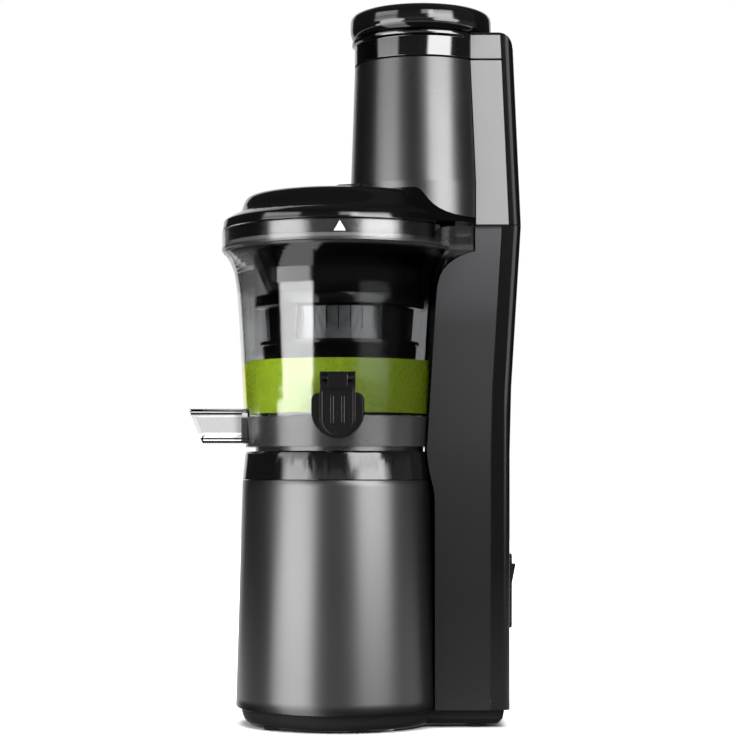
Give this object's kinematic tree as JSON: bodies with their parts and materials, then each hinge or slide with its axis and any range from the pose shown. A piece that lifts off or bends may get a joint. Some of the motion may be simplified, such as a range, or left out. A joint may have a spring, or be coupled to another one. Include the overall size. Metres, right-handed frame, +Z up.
{
  "type": "cold press juicer",
  "caption": "Upright slow juicer with a clear bowl, strainer and auger under a domed lid with an offset feed tube, on a motor base with a rear column.",
  "frame": {"origin": "point on the worktop straight below the drive shaft", "axes": "+Z up along the drive shaft, +X toward the column, -X along the pulp spout, -Y along the juice nozzle"},
  "size_m": [0.2041, 0.1583, 0.4407],
  "materials": {
    "charcoal_metallic": "satin",
    "grey_shell": "fine satin",
    "black_gloss": "glossy",
    "black_satin": "satin",
    "silver_panel": "matte",
    "clear_smoke": "clear polished plastic",
    "lime": "semi gloss",
    "steel": "satin",
    "cast": "cast",
    "bronze": "sintered",
    "copper_winding": "enamelled wire",
    "gear_plastic": "natural acetal",
    "rubber_black": "matte",
    "silicone_grey": "matte",
    "board_green": "lacquered"
  },
  "bodies": {
    "base": {"base_shell": "charcoal_metallic", "base_top_ring": "black_gloss", "base_plate": "black_satin", "feet": "rubber_black", "column_housing": "grey_shell", "column_spine": "black_satin", "switch_bezel": "black_gloss", "cord_gland": "black_satin", "motor_can": "cast", "motor_stator": "copper_winding", "motor_end_bell": "cast", "motor_bearings": "steel", "gearbox_case": "cast", "gearbox_mid_plate": "cast", "gearbox_cover": "cast", "idler_pins": "steel", "output_bearings": "bronze", "shaft_seal": "rubber_black", "motor_mounts": "rubber_black", "control_board": "board_green", "run_capacitor": "cast", "lid_sensor": "gear_plastic", "base_screws": "steel", "gearbox_screws": "steel"},
    "rotor": {"rotor_core": "cast", "rotor_shaft": "steel", "cooling_fan": "black_satin"},
    "idler_1": {"idler_gear_1": "gear_plastic"},
    "idler_2": {"idler_gear_2": "gear_plastic"},
    "drive": {"drive_gear": "steel", "drive_shaft": "steel"},
    "rocker": {"rocker": "black_gloss"},
    "bowl": {"bowl": "clear_smoke", "bowl_seal": "silicone_grey", "spout_gasket": "black_satin", "juice_nozzle": "black_gloss", "nozzle_pin": "steel", "strainer_frame": "black_satin", "strainer_mesh": "steel", "strainer_base": "lime"},
    "juice_cap": {"juice_cap": "black_gloss", "cap_seal": "silicone_grey"},
    "auger": {"auger": "black_satin", "auger_pin": "steel"},
    "lid": {"lid": "black_gloss", "lid_gasket": "silicone_grey", "chute_tube": "grey_shell", "chute_collar": "black_gloss", "chute_spine": "black_satin", "spine_panels": "silver_panel", "spine_top_panels": "silver_panel", "lid_magnet": "steel"},
    "tamper": {"tamper_body": "black_satin", "tamper_cap": "black_gloss", "tamper_ring": "silicone_grey"}
  },
  "joints": [
    {"name": "drive_spin", "type": "hinge", "parent": "base", "child": "drive", "pos_m": [0, 0, 0.17], "axis": [0, 0, 1], "continuous": true},
    {"name": "idler_2_spin", "type": "hinge", "parent": "base", "child": "idler_2", "pos_m": [-0.0275, 0, 0.11], "axis": [0, 0, 1], "continuous": true},
    {"name": "idler_1_spin", "type": "hinge", "parent": "base", "child": "idler_1", "pos_m": [-0.01193, 0.02082, 0.1], "axis": [0, 0, 1], "continuous": true},
    {"name": "rotor_spin", "type": "hinge", "parent": "base", "child": "rotor", "pos_m": [0, 0, 0.06], "axis": [0, 0, 1], "continuous": true},
    {"name": "rocker_tilt", "type": "hinge", "parent": "base", "child": "rocker", "pos_m": [0.1031, 0, 0.083], "axis": [0, 1, 0], "range_deg": [-12, 0]},
    {"name": "bowl_lift", "type": "slide", "parent": "base", "child": "bowl", "axis": [0, 0, 1], "range_m": [0, 0.16]},
    {"name": "cap_flip", "type": "hinge", "parent": "bowl", "child": "juice_cap", "pos_m": [0, -0.076, 0.2115], "axis": [-1, 0, 0], "range_deg": [0, 100]},
    {"name": "auger_spin", "type": "hinge", "parent": "bowl", "child": "auger", "pos_m": [0, 0, 0.2], "axis": [0, 0, 1], "continuous": true},
    {"name": "lid_lift", "type": "slide", "parent": "bowl", "child": "lid", "axis": [0, 0, 1], "range_m": [0, 0.12]},
    {"name": "tamper_lift", "type": "slide", "parent": "lid", "child": "tamper", "axis": [0, 0, 1], "range_m": [0, 0.1]}
  ],
  "couplings": [
    {"joint": "idler_2_spin", "follows": "drive_spin", "ratio": -2.6667},
    {"joint": "idler_1_spin", "follows": "drive_spin", "ratio": 8.8889},
    {"joint": "rotor_spin", "follows": "drive_spin", "ratio": -35.556},
    {"joint": "auger_spin", "follows": "drive_spin", "ratio": 1}
  ]
}
